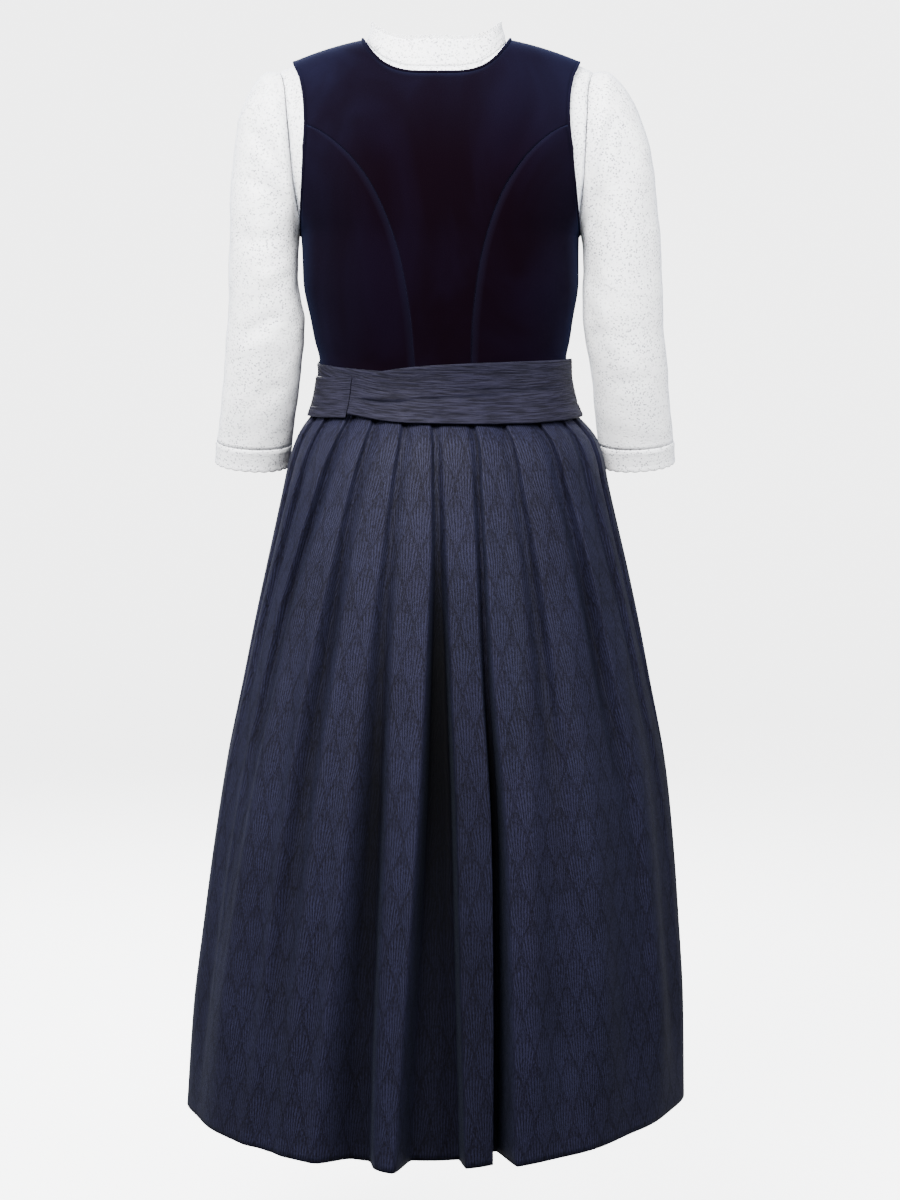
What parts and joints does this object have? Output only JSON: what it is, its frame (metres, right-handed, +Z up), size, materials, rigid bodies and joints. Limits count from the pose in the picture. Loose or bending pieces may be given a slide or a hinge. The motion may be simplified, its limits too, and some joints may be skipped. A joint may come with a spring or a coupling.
{
  "type": "dirndl set of dress, apron and lace blouse",
  "caption": "Worn, hollow dirndl set: velvet bodice with princess seams, pleated jacquard skirt, tied crinkle apron and a lace blouse with stand collar and three-quarter sleeves.",
  "frame": {"origin": "midway between the two points where the bodice's shoulder seams meet its neckline, where the wearer's shoulders carry it", "axes": "+Z up, -Y the way the wearer faces, +X the wearer's left"},
  "size_m": [0.5712, 0.4843, 1.2232],
  "materials": {
    "velvet": "midnight blue velvet, short nap",
    "jacquard": "navy jacquard with a tone-on-tone fan pattern, soft sheen",
    "crinkle": "slate blue crinkled taffeta, soft sheen",
    "lace": "white lace, matt"
  },
  "bodies": {
    "root": {"bodice_back": "velvet", "bodice_side_back_left": "velvet", "bodice_side_back_right": "velvet", "bodice_side_front_left": "velvet", "bodice_side_front_right": "velvet", "bodice_front_left": "velvet", "bodice_front_right": "velvet", "bodice_neck_binding": "velvet", "bodice_armhole_binding_left": "velvet", "bodice_armhole_binding_right": "velvet", "skirt_back": "jacquard", "skirt_front_left": "jacquard", "skirt_front_right": "jacquard", "apron_panel": "crinkle", "apron_band": "crinkle", "apron_tie_left": "crinkle", "apron_tie_right": "crinkle", "apron_bow_knot": "crinkle", "apron_bow_loop_left": "crinkle", "apron_bow_loop_right": "crinkle", "apron_bow_tail_left": "crinkle", "apron_bow_tail_right": "crinkle", "blouse_back": "lace", "blouse_front_left": "lace", "blouse_front_right": "lace", "blouse_collar": "lace", "blouse_sleeve_left": "lace", "blouse_sleeve_right": "lace", "blouse_cuff_left": "lace", "blouse_cuff_right": "lace"}
  },
  "joints": []
}
